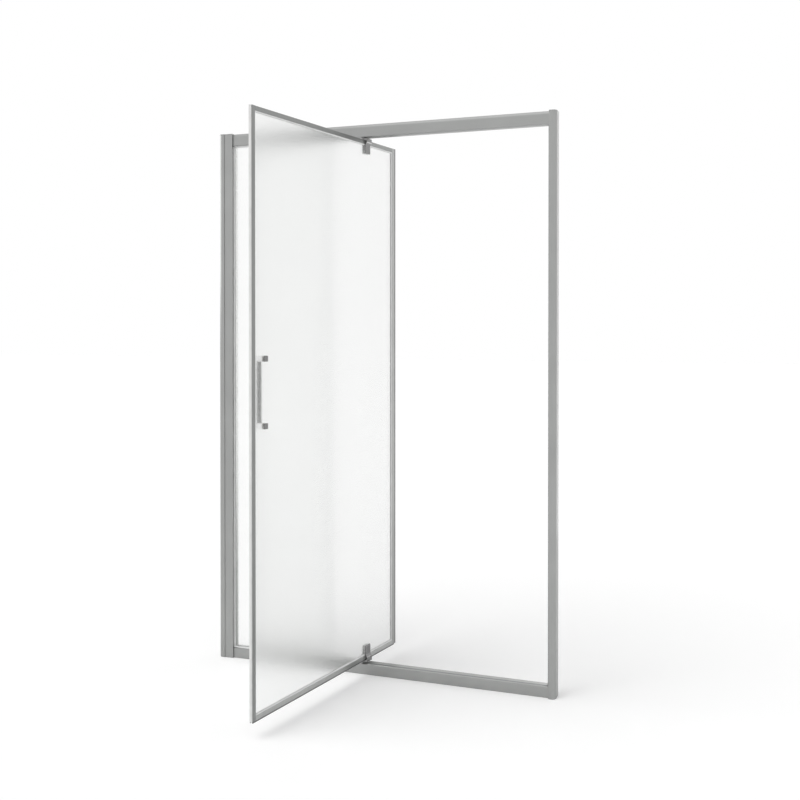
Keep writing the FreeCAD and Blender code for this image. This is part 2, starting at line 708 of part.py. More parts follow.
def frame_screws():
    """Corner screws, channel screws and the covers over the channel screws."""
    s = size
    half = s.channel_depth / 2
    corner = []
    for y, height in corner_screw_places():
        left = hex_screw("corner_screw_left_{}".format(len(corner)), s.tapper_radius,
                            s.left_upright_width + s.tapper_bite,
                            s.tapper_head_radius, s.tapper_head_height)
        fix(left, s.left_face - s.left_upright_width, y, height, pitch=90)
        right = hex_screw("corner_screw_right_{}".format(len(corner)), s.tapper_radius,
                             s.strike_upright_width + s.tapper_bite,
                             s.tapper_head_radius, s.tapper_head_height)
        fix(right, s.strike_face + s.strike_upright_width, y, height, pitch=-90)
        corner += [left, right]
    keep_group("frame_corner_screws", corner)
    fixing = []
    covers = []
    for side in (-1, 1):
        x = side * (s.overall_width / 2 - s.channel_width + s.channel_screw_inset)
        for height in fixing_heights():
            screw = hex_screw("channel_screw_{}".format(len(fixing) + 1), s.tapper_radius,
                                 s.tapper_bite, s.tapper_head_radius, s.tapper_head_height)
            fix(screw, x, half, height, roll=90)
            fixing.append(screw)
            cover = screw_cover("screw_cover_{}".format(len(covers) + 1))
            fix(cover, x, half, height, roll=-90)
            covers.append(cover)
    keep_group("channel_fixing_screws", fixing)
    keep_group("screw_cover_caps", covers)


def screw_cover(label):
    """Square snap-on cover, open towards Z = 0."""
    s = size
    body = new_body(label)
    outer = s.cover_side / 2
    inner = outer - s.cover_wall
    outline = sketch_on(body, "XY_Plane", label + "_outline")
    draw_loop(outline, rectangle(-outer, -outer, outer, outer))
    pad(body, outline, s.cover_height)
    room = sketch_on(body, "XY_Plane", label + "_room")
    draw_loop(room, rectangle(-inner, -inner, inner, inner))
    pocket(body, room, s.cover_height - s.cover_wall)
    return body


def top_cap(label, side, reach, width):
    """Plastic cap over a channel and its upright; side is -1 at the left, 1 at the strike."""
    s = size
    body = new_body(label)
    half = s.channel_depth / 2
    plate = sketch_on(body, "XY_Plane", label + "_plate")
    mouth = -side * s.channel_width
    end = -side * (s.channel_width + reach)
    draw_loop(plate, (
        (0, -half, s.channel_round), (mouth, -half), (mouth, -s.upright_half),
        (end, -s.upright_half), (end, s.upright_half), (mouth, s.upright_half),
        (mouth, half), (0, half, s.channel_back_round)))
    pad(body, plate, s.cap_thickness)
    plug = sketch_on(body, "XY_Plane", label + "_plug")
    slack = s.channel_play
    tail = s.channel_width + reach - width + s.upright_wall + slack
    plug_end = s.channel_width + reach - s.slot_depth - s.upright_wall - slack
    if side > 0:
        plug_end = s.channel_width + reach - s.strike_groove_depth - s.upright_wall - slack
    draw_loop(plug, rectangle(
        -side * tail, s.channel_round - half,
        -side * plug_end, s.rear_port - s.tapper_head_radius - slack))
    pad(body, plug, s.cap_plug, down=True)
    fix(body, side * s.overall_width / 2, 0, s.frame_height)
    keep(body)


def fixed_panel():
    """Fixed glass, its gasket, the clear strip on its free edge."""
    s = size
    inset = s.slot_depth - s.gasket_base
    glass = new_body("fixed_glass")
    pane = sketch_on(glass, "XZ_Plane", "fixed_glass_outline")
    draw_loop(pane, rectangle(s.left_face - inset, s.bottom_rail_height - inset,
                              s.fixed_edge, s.head_face + inset))
    pad(glass, pane, s.glass_thickness, symmetric=True)
    fix(glass, 0, s.glass_plane, 0)
    keep(glass)

    gasket = new_body("fixed_glass_gasket")
    frame = sketch_on(gasket, "XZ_Plane", "fixed_gasket_outline")
    left = s.left_face - s.slot_depth
    low = s.bottom_rail_height - s.slot_depth
    high = s.head_face + s.slot_depth
    draw_loop(frame, (
        (left, low), (s.fixed_edge, low), (s.fixed_edge, s.bottom_rail_height),
        (s.left_face, s.bottom_rail_height), (s.left_face, s.head_face),
        (s.fixed_edge, s.head_face), (s.fixed_edge, high), (left, high)))
    pad(gasket, frame, s.slot_half * 2, symmetric=True)
    room = sketch_on(gasket, "XZ_Plane", "fixed_gasket_room")
    draw_loop(room, rectangle(s.left_face - inset, s.bottom_rail_height - inset,
                              s.fixed_edge + s.cut_margin, s.head_face + inset))
    pocket(gasket, room, s.glass_half)
    fix(gasket, 0, s.glass_plane, 0)
    keep(gasket)

    strip = new_body("fixed_glass_edge_seal")
    section = sketch_on(strip, "XY_Plane", "edge_seal_section")
    outer = s.glass_half + s.edge_seal_wall
    draw_loop(section, (
        (-s.edge_seal_cover, -outer), (s.edge_seal_wall, -outer, s.soft_round),
        (s.edge_seal_wall, outer, s.soft_round), (-s.edge_seal_cover, outer),
        (-s.edge_seal_cover, s.glass_half), (0, s.glass_half),
        (0, -s.glass_half), (-s.edge_seal_cover, -s.glass_half)))
    pad(strip, section, s.head_face - s.bottom_rail_height - 2 * s.end_play)
    fix(strip, s.fixed_edge, s.glass_plane, s.bottom_rail_height + s.end_play)
    keep(strip)


def infill_strip(label):
    """Snap-in strip along +X that closes a rail's groove; its face lies on Z = 0."""
    s = size
    body = new_body(label)
    section = sketch_on(body, "YZ_Plane", label + "_section")
    half = s.slot_half - s.fit_play
    wall = s.infill_wall
    draw_loop(section, (
        (-half, -s.infill_height), (wall - half, -s.infill_height), (wall - half, -wall),
        (half - wall, -wall), (half - wall, -s.infill_height), (half, -s.infill_height),
        (half, 0), (-half, 0)))
    pad(body, section, s.strike_face - s.fixed_edge - 2 * s.end_play)
    keep(body)
    return body


def strike_seals():
    """Magnetic strip in the strike upright and soft strip on its stop lip."""
    s = size
    length = s.head_face - s.bottom_rail_height - 2 * s.end_play
    magnet = new_body("strike_magnet")
    section = sketch_on(magnet, "XY_Plane", "strike_magnet_section")
    half = s.strike_groove_width / 2 - s.fit_play
    draw_loop(section, rectangle(-s.strike_magnet_stand, -half, s.strike_groove_depth - s.fit_play, half,
                                 s.soft_round))
    pad(magnet, section, length)
    fix(magnet, s.strike_face, s.pivot_setback, s.bottom_rail_height + s.end_play)
    keep(magnet)

    bumper = new_body("strike_bumper_seal")
    profile = sketch_on(bumper, "XY_Plane", "bumper_section")
    soft = s.pivot_setback + s.leaf_half + s.bumper_gap
    root = s.upright_half - s.stop_lip_wall
    draw_loop(profile, (
        (-s.stop_lip, root), (-s.stop_lip, soft, s.soft_round),
        (-s.bumper_inset, soft, s.soft_round), (-s.bumper_inset, root)))
    pad(bumper, profile, length)
    fix(bumper, s.strike_face, 0, s.bottom_rail_height + s.end_play)
    keep(bumper)


# ---------------------------------------------------------------- leaf

def leaf_glass():
    """Glass of the leaf with holes for brackets and handle."""
    s = size
    inset = s.leaf_web + s.gasket_base
    glass = new_body("door_glass")
    pane = sketch_on(glass, "XZ_Plane", "door_glass_outline")
    draw_loop(pane, rectangle(s.stile_short + inset, s.leaf_foot + inset,
                              s.stile_free - inset, s.leaf_top - inset))
    for place, height in clamp_screw_places():
        draw_circle(pane, place, height, s.glass_hole_radius)
    for height in post_heights():
        draw_circle(pane, s.handle_place, height, s.glass_hole_radius)
    pad(glass, pane, s.glass_thickness, symmetric=True)
    hang(glass)
    keep(glass)


def leaf_gasket():
    """Continuous glazing gasket in the groove of the leaf's frame."""
    s = size
    body = new_body("door_glazing_gasket")
    ring = sketch_on(body, "XZ_Plane", "door_gasket_ring")
    draw_loop(ring, rectangle(s.stile_short + s.leaf_web, s.leaf_foot + s.leaf_web,
                              s.stile_free - s.leaf_web, s.leaf_top - s.leaf_web))
    draw_loop(ring, rectangle(s.stile_short + s.leaf_band, s.leaf_foot + s.leaf_band,
                              s.stile_free - s.leaf_band, s.leaf_top - s.leaf_band))
    pad(body, ring, s.slot_half * 2, symmetric=True)
    room = sketch_on(body, "XZ_Plane", "door_gasket_room")
    inset = s.leaf_web + s.gasket_base
    draw_loop(room, rectangle(s.stile_short + inset, s.leaf_foot + inset,
                              s.stile_free - inset, s.leaf_top - inset))
    pocket(body, room, s.glass_half)
    hang(body)
    keep(body)


def stile(label, outside, inward):
    """Upright of the leaf's frame; inward is the direction of the glass, 1 or -1."""
    s = size
    body = new_body(label)
    section = sketch_on(body, "XY_Plane", label + "_section")
    half = s.leaf_half
    slot = s.slot_half
    groove = s.groove_width / 2
    lip = outside + inward * s.leaf_band
    bottom = outside + inward * s.leaf_web
    back = outside + inward * s.groove_depth
    draw_loop(section, (
        (outside, -half, s.leaf_round), (lip, -half, s.leaf_lip_round), (lip, -slot),
        (bottom, -slot), (bottom, slot), (lip, slot), (lip, half, s.leaf_lip_round),
        (outside, half, s.leaf_round),
        (outside, groove), (back, groove), (back, -groove), (outside, -groove)))
    pad(body, section, s.leaf_top - s.leaf_foot)
    holes = sketch_on(body, "YZ_Plane", label + "_screw_holes", outside + inward * s.leaf_web / 2)
    seats = sketch_on(body, "YZ_Plane", label + "_screw_seats", back)
    for height in (s.leaf_web / 2, s.leaf_top - s.leaf_foot - s.leaf_web / 2):
        draw_circle(holes, 0, height, s.tapper_radius + s.thread_play)
        draw_circle(seats, 0, height, s.corner_head_radius + s.thread_play)
    pocket(body, holes, s.leaf_web / 2 + s.cut_margin)
    pocket(body, seats, s.corner_head_height + s.thread_play)
    hang(body, z=s.leaf_foot)
    keep(body)


def leaf_rail(label):
    """Level profile of the leaf's frame along +X; its outside lies on Z = 0."""
    s = size
    body = new_body(label)
    section = sketch_on(body, "YZ_Plane", label + "_section")
    half = s.leaf_half
    slot = s.slot_half
    draw_loop(section, (
        (-half, 0, s.leaf_round), (half, 0, s.leaf_round),
        (half, s.leaf_band, s.leaf_lip_round), (slot, s.leaf_band), (slot, s.leaf_web),
        (-slot, s.leaf_web), (-slot, s.leaf_band), (-half, s.leaf_band, s.leaf_lip_round)))
    draw_circle(section, 0, s.leaf_web / 2, s.tapper_radius + s.thread_play)
    pad(body, section, s.stile_free - s.stile_short - 2 * s.leaf_band)
    keep(body)
    return body


def leaf_frame():
    """Four profiles of the leaf and the screws at their corners."""
    s = size
    stile("door_handle_stile", s.stile_free, -1)
    stile("door_pivot_stile", s.stile_short, 1)
    hang(leaf_rail("door_bottom_profile"), x=s.stile_short + s.leaf_band, z=s.leaf_foot)
    hang(leaf_rail("door_top_profile"), x=s.stile_free - s.leaf_band, z=s.leaf_top, pitch=180)
    screws = []
    depth = s.groove_depth + s.corner_head_height
    length = s.leaf_band - depth + s.tapper_bite
    for height in (s.leaf_foot + s.leaf_web / 2, s.leaf_top - s.leaf_web / 2):
        for outside, inward in ((s.stile_free, -1), (s.stile_short, 1)):
            screw = hex_screw("leaf_corner_screw_{}".format(len(screws) + 1),
                                 s.tapper_radius, length,
                                 s.corner_head_radius, s.corner_head_height)
            hang(screw, x=outside + inward * depth, z=height, pitch=inward * 90)
            screws.append(screw)
    keep_group("door_corner_screws", screws)


def leaf_seals():
    """Magnetic strip, seal at the short end and drip seal."""
    s = size
    height = s.leaf_top - s.leaf_foot
    stem = s.groove_width / 2 - s.fit_play
    magnet = new_body("door_magnet_seal")
    section = sketch_on(magnet, "XY_Plane", "door_magnet_section")
    head = s.magnet_width / 2
    root = s.stile_free - s.groove_depth + s.fit_play
    draw_loop(section, (
        (root, -stem), (s.stile_free, -stem), (s.stile_free, -head),
        (s.free_length, -head, s.magnet_round), (s.free_length, head, s.magnet_round),
        (s.stile_free, head), (s.stile_free, stem), (root, stem)))
    pad(magnet, section, height)
    hang(magnet, z=s.leaf_foot)
    keep(magnet)

    seal = new_body("door_edge_seal")
    profile = sketch_on(seal, "XY_Plane", "door_edge_seal_section")
    end = -s.short_length
    foot = s.stile_short + s.groove_depth - s.fit_play
    tip = s.glass_plane + s.glass_half + s.short_seal_gap - s.pivot_setback
    draw_loop(profile, (
        (foot, -stem), (foot, stem), (s.stile_short, stem), (s.stile_short, s.leaf_half),
        (end, s.leaf_half, s.short_seal_round), (end, tip, s.short_seal_tip_round),
        (end + s.short_seal_lip, tip, s.short_seal_tip_round),
        (end + s.short_seal_lip, -s.short_seal_body), (s.stile_short, -s.short_seal_body),
        (s.stile_short, -stem)))
    pad(seal, profile, height)
    hang(seal, z=s.leaf_foot)
    keep(seal)

    drips = []
    notch = s.bracket_length / 2 + s.bracket_play
    for start, end in ((s.stile_short, -notch), (notch, s.stile_free)):
        drip = new_body("drip_seal_{}".format(len(drips) + 1))
        shape = sketch_on(drip, "YZ_Plane", "drip_seal_section_{}".format(len(drips) + 1))
        half = s.drip_width / 2
        wall = s.drip_wall
        draw_loop(shape, (
            (-half, 0), (-half, -s.drip_drop), (wall - half, -s.drip_drop),
            (wall - half, -wall), (half - wall, -wall), (half - wall, -s.drip_drop),
            (half, -s.drip_drop), (half, 0)))
        pad(drip, shape, end - start)
        hang(drip, x=start, z=s.leaf_foot)
        drips.append(drip)
    keep_group("door_drip_seal", drips)


# ---------------------------------------------------------------- pivot brackets

def clamp_screw_places():
    """Clamp screws of both brackets: (from the pivot axis, height)."""
    s = size
    places = []
    for height in (s.leaf_foot + s.clamp_screw_height, s.leaf_top - s.clamp_screw_height):
        for side in (-1, 1):
            places.append((side * s.clamp_screw_place, height))
    return places


def drill_clamp(body, label, plane, radius, depth):
    """Two holes square to the glass, to the depth on both sides of the plane."""
    s = size
    holes = sketch_on(body, "XZ_Plane", label, -as_dim(plane))
    for side in (-1, 1):
        draw_circle(holes, side * s.clamp_screw_place, s.clamp_screw_height, radius)
    pocket(body, holes, depth)


def pivot_bracket(label, reach):
    """Bracket on the shower side; Z = 0 is the edge of the leaf's frame, the pin goes down.

    Its section is a flat pad on the glass that flares in one curve into the thick end
    that holds the pivot pin.
    """
    s = size
    body = new_body(label)
    section = sketch_on(body, "YZ_Plane", label + "_section")
    pad_foot = s.flare_foot + s.flare_rise
    step = s.leaf_band + s.bracket_play
    half = s.leaf_half
    draw_loop(section, (
        (-half, -reach), (s.boss_outer, -reach, s.bracket_round), (s.boss_outer, s.flare_foot),
        (s.pad_outer, pad_foot, s.flare_radius, s.pad_outer + s.flare_radius, pad_foot, False),
        (s.pad_outer, s.bracket_height, s.bracket_round), (s.pad_inner, s.bracket_height),
        (s.pad_inner, step), (half, step), (half, 0), (-half, 0)))
    pad(body, section, s.bracket_length, symmetric=True)
    bore = sketch_on(body, "XY_Plane", label + "_pin_bore", -reach)
    draw_circle(bore, 0, 0, s.pin_radius + s.running_play)
    pocket(body, bore, reach + s.cut_margin)
    drill_clamp(body, label + "_threads", s.pad_inner, s.bolt_radius + s.thread_play,
                s.pad_outer - s.pad_inner - s.thread_floor)
    keep(body)
    return body


def clamp_plate(label, reach):
    """Counter plate on the bathroom side, with seats for the screw heads."""
    s = size
    body = new_body(label)
    section = sketch_on(body, "YZ_Plane", label + "_section")
    step = s.leaf_band + s.bracket_play
    face = -s.pad_inner - s.plate_pad
    back = -s.leaf_half - s.plate_wall
    draw_loop(section, (
        (-s.leaf_half, -reach), (-s.leaf_half, step), (-s.pad_inner, step),
        (-s.pad_inner, s.bracket_height), (face, s.bracket_height, s.bracket_round),
        (face, step + s.plate_ramp), (back, step), (back, -reach, s.bracket_round)))
    pad(body, section, s.bracket_length, symmetric=True)
    drill_clamp(body, label + "_holes", -s.pad_inner, s.bolt_radius + s.thread_play,
                s.plate_pad + s.cut_margin)
    drill_clamp(body, label + "_seats", face, s.bolt_head_radius + s.thread_play,
                s.bolt_head_height)
    keep(body)
    return body


def clamp_gasket(label):
    """Gasket between bracket and glass; it lies on the -Y side of its plane, Z as above."""
    s = size
    body = new_body(label)
    sheet = sketch_on(body, "XZ_Plane", label + "_sheet")
    half = s.bracket_length / 2
    draw_loop(sheet, rectangle(-half, s.leaf_band + s.bracket_play, half, s.bracket_height))
    for side in (-1, 1):
        draw_circle(sheet, side * s.clamp_screw_place, s.clamp_screw_height,
                    s.bolt_radius + s.thread_play)
    pad(body, sheet, s.pad_gasket)
    return body


def pivot_pin(label, under_leaf):
    """Pivot pin; Z = 0 is its end in the bracket, its tip points down."""
    s = size
    body = new_body(label)
    section = sketch_on(body, "XY_Plane", label + "_section")
    draw_circle(section, 0, 0, s.pin_radius)
    pad(body, section, under_leaf + s.pin_reach, down=True)
    keep(body)
    return body


def pivot_hardware():
    """Brackets, plates, gaskets, clamp screws, pins and thrust washer."""
    s = size
    hang(pivot_bracket("lower_pivot_bracket", s.lower_reach), z=s.leaf_foot)
    hang(pivot_bracket("upper_pivot_bracket", s.upper_reach), z=s.leaf_top, pitch=180)
    hang(clamp_plate("lower_clamp_plate", s.lower_reach), z=s.leaf_foot)
    hang(clamp_plate("upper_clamp_plate", s.upper_reach), z=s.leaf_top, pitch=180)
    gaskets = []
    for z, pitch in ((s.leaf_foot, 0), (s.leaf_top, 180)):
        for face in (s.pad_inner, -s.glass_half):
            gasket = clamp_gasket("clamp_gasket_{}".format(len(gaskets) + 1))
            hang(gasket, y=face, z=z, pitch=pitch)
            gaskets.append(gasket)
    keep_group("bracket_gaskets", gaskets)
    screws = []
    seat = s.pad_inner + s.plate_pad - s.bolt_head_height
    length = seat + s.pad_outer - s.thread_floor - s.thread_spare
    for place, height in clamp_screw_places():
        screw = pan_screw("clamp_screw_{}".format(len(screws) + 1), s.bolt_radius, length,
                             s.bolt_head_radius, s.bolt_head_height)
        hang(screw, x=place, y=-seat, z=height, roll=-90)
        screws.append(screw)
    keep_group("bracket_screws", screws)
    hang(pivot_pin("lower_pivot_pin", s.door_gap + s.drip_drop), z=s.leaf_foot)
    hang(pivot_pin("upper_pivot_pin", s.door_gap), z=s.leaf_top, pitch=180)
    washer = turned("lower_thrust_washer", (
        (s.pin_radius + s.running_play, 0), (s.washer_radius, 0),
        (s.washer_radius, s.washer_thickness),
        (s.pin_radius + s.running_play, s.washer_thickness)))
    hang(washer, z=s.leaf_foot - s.lower_reach - s.washer_thickness)
    keep(washer)


# ---------------------------------------------------------------- handle

def post_heights():
    s = size
    return (s.handle_height - s.handle_centres / 2, s.handle_height + s.handle_centres / 2)


def handle_post(label, upward):
    """Square post on the bathroom side; upward is 1 when the grip leaves it upwards."""
    s = size
    body = new_body(label)
    half = s.post_side / 2
    outline = sketch_on(body, "XZ_Plane", label + "_outline")
    draw_loop(outline, rectangle(-half, -half, half, half, s.post_round))
    pad(body, outline, s.handle_reach - s.pad_inner)
    socket = sketch_on(body, "XY_Plane", label + "_socket", upward * half)
    middle = s.pad_inner + s.grip_side / 2 - s.handle_reach
    side = s.tenon_side / 2 + s.fit_play
    draw_loop(socket, rectangle(-side, middle - side, side, middle + side))
    pocket(body, socket, s.tenon_length + s.fit_play)
    thread = sketch_on(body, "XZ_Plane", label + "_thread")
    draw_circle(thread, 0, 0, s.bolt_radius + s.thread_play)
    pocket(body, thread, s.handle_bolt_bite + s.thread_spare)
    keep(body)
    return body


def handle_cap(label):
    """Square cap on the shower side, hollow over the screw head; Y = 0 is its open face."""
    s = size
    body = new_body(label)
    half = s.post_side / 2
    outline = sketch_on(body, "XZ_Plane", label + "_outline")
    draw_loop(outline, rectangle(-half, -half, half, half, s.post_round))
    pad(body, outline, s.handle_cap_height, down=True)
    recess = sketch_on(body, "XZ_Plane", label + "_recess")
    draw_circle(recess, 0, 0, s.bolt_head_radius + s.thread_play)
    pocket(body, recess, s.handle_cap_height - s.handle_cap_floor)
    keep(body)
    return body


def handle_washer(label):
    """Square washer between the glass and a post or cap, on the -Y side of its plane."""
    s = size
    body = new_body(label)
    outline = sketch_on(body, "XZ_Plane", label + "_outline")
    half = s.post_side / 2 - s.washer_inset
    draw_loop(outline, rectangle(-half, -half, half, half))
    draw_circle(outline, 0, 0, s.bolt_radius + s.thread_play)
    pad(body, outline, s.pad_gasket)
    return body


def handle():
    """Grip bar, posts, caps, screws and washers."""
    s = size
    low, high = post_heights()
    grip = new_body("handle_grip")
    section = sketch_on(grip, "XY_Plane", "grip_section")
    half = s.grip_side / 2
    length = s.handle_centres - s.post_side
    draw_loop(section, rectangle(-half, -half, half, half, s.grip_round))
    pad(grip, section, length)
    tenon = sketch_on(grip, "XY_Plane", "grip_tenons", length / 2)
    side = s.tenon_side / 2
    draw_loop(tenon, rectangle(-side, -side, side, side))
    pad(grip, tenon, length + 2 * s.tenon_length, symmetric=True)
    hang(grip, x=s.handle_place, y=half - s.handle_reach, z=low + s.post_side / 2)
    keep(grip)
    hang(handle_post("lower_handle_post", 1), x=s.handle_place, y=-s.pad_inner, z=low)
    hang(handle_post("upper_handle_post", -1), x=s.handle_place, y=-s.pad_inner, z=high)
    hang(handle_cap("lower_handle_cap"), x=s.handle_place, y=s.pad_inner, z=low)
    hang(handle_cap("upper_handle_cap"), x=s.handle_place, y=s.pad_inner, z=high)
    screws = []
    washers = []
    length = s.pad_inner * 2 + s.handle_bolt_bite
    for height in post_heights():
        screw = hex_screw("handle_screw_{}".format(len(screws) + 1), s.bolt_radius, length,
                             s.bolt_head_radius, s.bolt_head_height)
        hang(screw, x=s.handle_place, y=s.pad_inner, z=height, roll=90)
        screws.append(screw)
        for face in (s.pad_inner, -s.glass_half):
            washer = handle_washer("handle_washer_{}".format(len(washers) + 1))
            hang(washer, x=s.handle_place, y=face, z=height)
            washers.append(washer)
    keep_group("handle_screws", screws)
    keep_group("handle_washers", washers)


# ---------------------------------------------------------------- building and checking

def build():
    s = size
    fill_sheet()
    fix(wall_channel("left_wall_channel"), -s.overall_width / 2, 0, 0)
    fix(wall_channel("right_wall_channel"), s.overall_width / 2, 0, s.frame_height, pitch=180)
    left_upright()
    strike_upright()
    rails_and_pivots()
    frame_screws()
    top_cap("left_top_cap", -1, s.left_upright_reach, s.left_upright_width)
    top_cap("right_top_cap", 1, s.strike_upright_reach, s.strike_upright_width)
    fixed_panel()
    fix(infill_strip("sill_infill_strip"), s.fixed_edge + s.end_play, s.glass_plane,
        s.bottom_rail_height)
    fix(infill_strip("head_infill_strip"), s.strike_face - s.end_play, s.glass_plane,
        s.head_face, pitch=180)
    strike_seals()
    leaf_glass()
    leaf_gasket()
    leaf_frame()
    leaf_seals()
    pivot_hardware()
    handle()
    doc.recompute()


def check():
    """Stop if a feature failed, a cut removed nothing or a sub-part is not sound."""
    for thing in doc.Objects:
        if "Invalid" in thing.State or "Error" in thing.State:
            raise RuntimeError("{} failed: {}".format(thing.Label, thing.State))
        if thing.TypeId == "PartDesign::Pocket":
            if thing.Shape.Volume >= thing.BaseFeature.Shape.Volume - 1e-6:
                raise RuntimeError(thing.Label + " removed nothing")
    for thing in nodes:
        if thing.Shape.isNull() or not thing.Shape.isValid():
            raise RuntimeError(thing.Label + " is not a sound shape")


def export():
    os.makedirs("parts", exist_ok=True)
    for thing in nodes:
        thing.Shape.exportStep("parts/{}.step".format(thing.Label))
    print(len(nodes), "sub-parts,", sum(len(thing.Shape.Solids) for thing in nodes), "solids")


build()
check()
export()
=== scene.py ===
"""Looks of a framed pivot shower door with a frosted leaf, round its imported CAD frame. Metres."""
import json
import math
from collections import namedtuple

import bmesh
import bpy
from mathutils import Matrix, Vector


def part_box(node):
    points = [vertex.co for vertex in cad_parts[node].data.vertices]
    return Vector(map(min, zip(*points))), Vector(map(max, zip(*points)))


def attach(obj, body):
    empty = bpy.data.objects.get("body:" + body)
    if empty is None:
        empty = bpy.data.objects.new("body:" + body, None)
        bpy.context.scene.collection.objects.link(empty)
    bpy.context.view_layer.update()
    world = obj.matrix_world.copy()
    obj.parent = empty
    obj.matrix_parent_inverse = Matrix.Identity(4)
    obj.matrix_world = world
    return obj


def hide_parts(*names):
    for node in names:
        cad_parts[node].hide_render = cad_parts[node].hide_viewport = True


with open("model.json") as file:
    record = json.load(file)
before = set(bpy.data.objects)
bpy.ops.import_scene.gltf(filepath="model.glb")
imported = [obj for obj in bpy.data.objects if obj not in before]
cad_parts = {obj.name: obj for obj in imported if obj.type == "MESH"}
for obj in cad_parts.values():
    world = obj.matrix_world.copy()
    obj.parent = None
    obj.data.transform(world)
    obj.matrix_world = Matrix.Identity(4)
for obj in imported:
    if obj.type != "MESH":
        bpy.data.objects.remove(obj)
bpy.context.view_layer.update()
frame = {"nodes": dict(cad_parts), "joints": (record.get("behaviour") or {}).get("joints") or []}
nodes = frame["nodes"]

# camera of the reference view: place, turn and tilt in degrees, focal length and optical axis
IMAGE_SIDE = 800
SENSOR_MM = 36.0
CAMERA_PLACE = (1.1699, -3.0671, 1.1733)
CAMERA_YAW = 19.810
CAMERA_PITCH = 0.559
CAMERA_REACH = 200.0
FOCAL_PX = 978.29
CENTRE_PX = (397.55, 335.69)

# the leaf stands open about the vertical pivot axis
LEAF_OPEN = math.radians(100)
PIVOT = Vector(frame["joints"][0]["pos_m"])
ALONG = Vector((math.cos(LEAF_OPEN), -math.sin(LEAF_OPEN), 0))
ACROSS = Vector((math.sin(LEAF_OPEN), math.cos(LEAF_OPEN), 0))

# leaf's frame: outside edges from the pivot axis and from the floor, and its visible width
LEAF_ENDS = (-0.181, 0.622)
LEAF_LEVELS = (0.048, 1.799)
LEAF_BAND = 0.014

# pivot brackets: half width; their screws' place, level from the frame's edge and seat
BRACKET_HALF = 0.0153
BOLT_PLACE = 0.0095
BOLT_LEVEL = 0.030
BOLT_SEAT = 0.0052

# fixed panel: faces of the frame round it, its free edge and the middle of its glass
PANEL_SIDE = -0.546
PANEL_LEVELS = (0.036, 1.807)
PANEL_EDGE = -0.185
PANEL_PLANE = -0.0055
EDGE_COVER = 0.008


# ---------------------------------------------------------------- mesh helpers

def leaf_point(along, across, height):
    """A point of the standing leaf from its own directions."""
    return PIVOT + ALONG * along + ACROSS * across + Vector((0, 0, height))


def panel_point(along, across, height):
    """A point of the fixed panel; across runs towards the shower from the middle of its glass."""
    return Vector((along, PANEL_PLANE + across, height))


def new_piece(name, mesh_data, material, body):
    """An object from bmesh data with flat faces, riding on a body."""
    mesh = bpy.data.meshes.new(name)
    bmesh.ops.recalc_face_normals(mesh_data, faces=mesh_data.faces)
    for face in mesh_data.faces:
        face.smooth = False
        face.material_index = 0
    mesh_data.to_mesh(mesh)
    mesh_data.free()
    if "custom_normal" in mesh.attributes:
        mesh.attributes.remove(mesh.attributes["custom_normal"])
    piece = bpy.data.objects.new(name, mesh)
    bpy.context.scene.collection.objects.link(piece)
    mesh.materials.append(material)
    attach(piece, body)
    return piece


def sweep(data, rings):
    """Closed skin over rings of points; each ring is the section at one stop of the path."""
    rows = [[data.verts.new(point) for point in ring] for ring in rings]
    data.faces.new(rows[0])
    data.faces.new(rows[-1][::-1])
    count = len(rows[0])
    for here, there in zip(rows, rows[1:]):
        for index in range(count):
            after = (index + 1) % count
            data.faces.new((here[index], here[after], there[after], there[index]))


# ---------------------------------------------------------------- wedge gaskets

# section of a wedge gasket on one face of the glass: (from the lip, from the glass's middle)
WEDGE = ((-0.0035, 0.0026), (0.0034, 0.0026), (0.0038, 0.0028), (0.0037, 0.0031),
         (0.0030, 0.0036), (0.0021, 0.0044), (0.0011, 0.0052), (0.0005, 0.0054),
         (0.0001, 0.0052), (0.0001, 0.0039), (-0.0035, 0.0039))


def wedge_run(data, point, side, stops):
    """A run of gasket on one face; a stop is its place, its level and its way into the glass."""
    sweep(data, [[point(place + inward * out, side * off, level + upward * out)
                  for out, off in WEDGE]
                 for place, level, inward, upward in stops])


def leaf_wedges(material):
    """Wedge gaskets round the leaf's glass, on both faces, cut away at the pivot brackets."""
    data = bmesh.new()
    low, high = LEAF_LEVELS[0] + LEAF_BAND, LEAF_LEVELS[1] - LEAF_BAND
    for side in (-1, 1):
        for way, end in ((1, LEAF_ENDS[1] - LEAF_BAND), (-1, LEAF_ENDS[0] + LEAF_BAND)):
            start = way * BRACKET_HALF
            wedge_run(data, leaf_point, side, ((start, low, 0, 1), (end, low, -way, 1),
                                               (end, high, -way, -1), (start, high, 0, -1)))
    piece = new_piece("leaf_wedge_gaskets", data, material, "door")
    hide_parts("door_glazing_gasket")


def panel_wedges(material):
    """Wedge gaskets on three sides of the fixed glass, on both faces."""
    data = bmesh.new()
    low, high = PANEL_LEVELS
    end = PANEL_EDGE - EDGE_COVER
    for side in (-1, 1):
        wedge_run(data, panel_point, side, ((end, low, 0, 1), (PANEL_SIDE, low, 1, 1),
                                            (PANEL_SIDE, high, 1, -1), (end, high, 0, -1)))
    piece = new_piece("panel_wedge_gaskets", data, material, "root")
    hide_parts("fixed_glass_gasket")


# ---------------------------------------------------------------- broken edges

WELD_REACH = 1e-6
FLAT_ANGLE = math.radians(0.5)
SHARP_ANGLE = math.radians(35)
EDGE_STEPS = 3
ROUND_PROFILE = 0.5

# edge radii of the plated fittings, of the handle's posts and of the plastic covers
FITTING_EDGE = 0.0006
POST_EDGE = 0.0005
COVER_EDGE = 0.0004

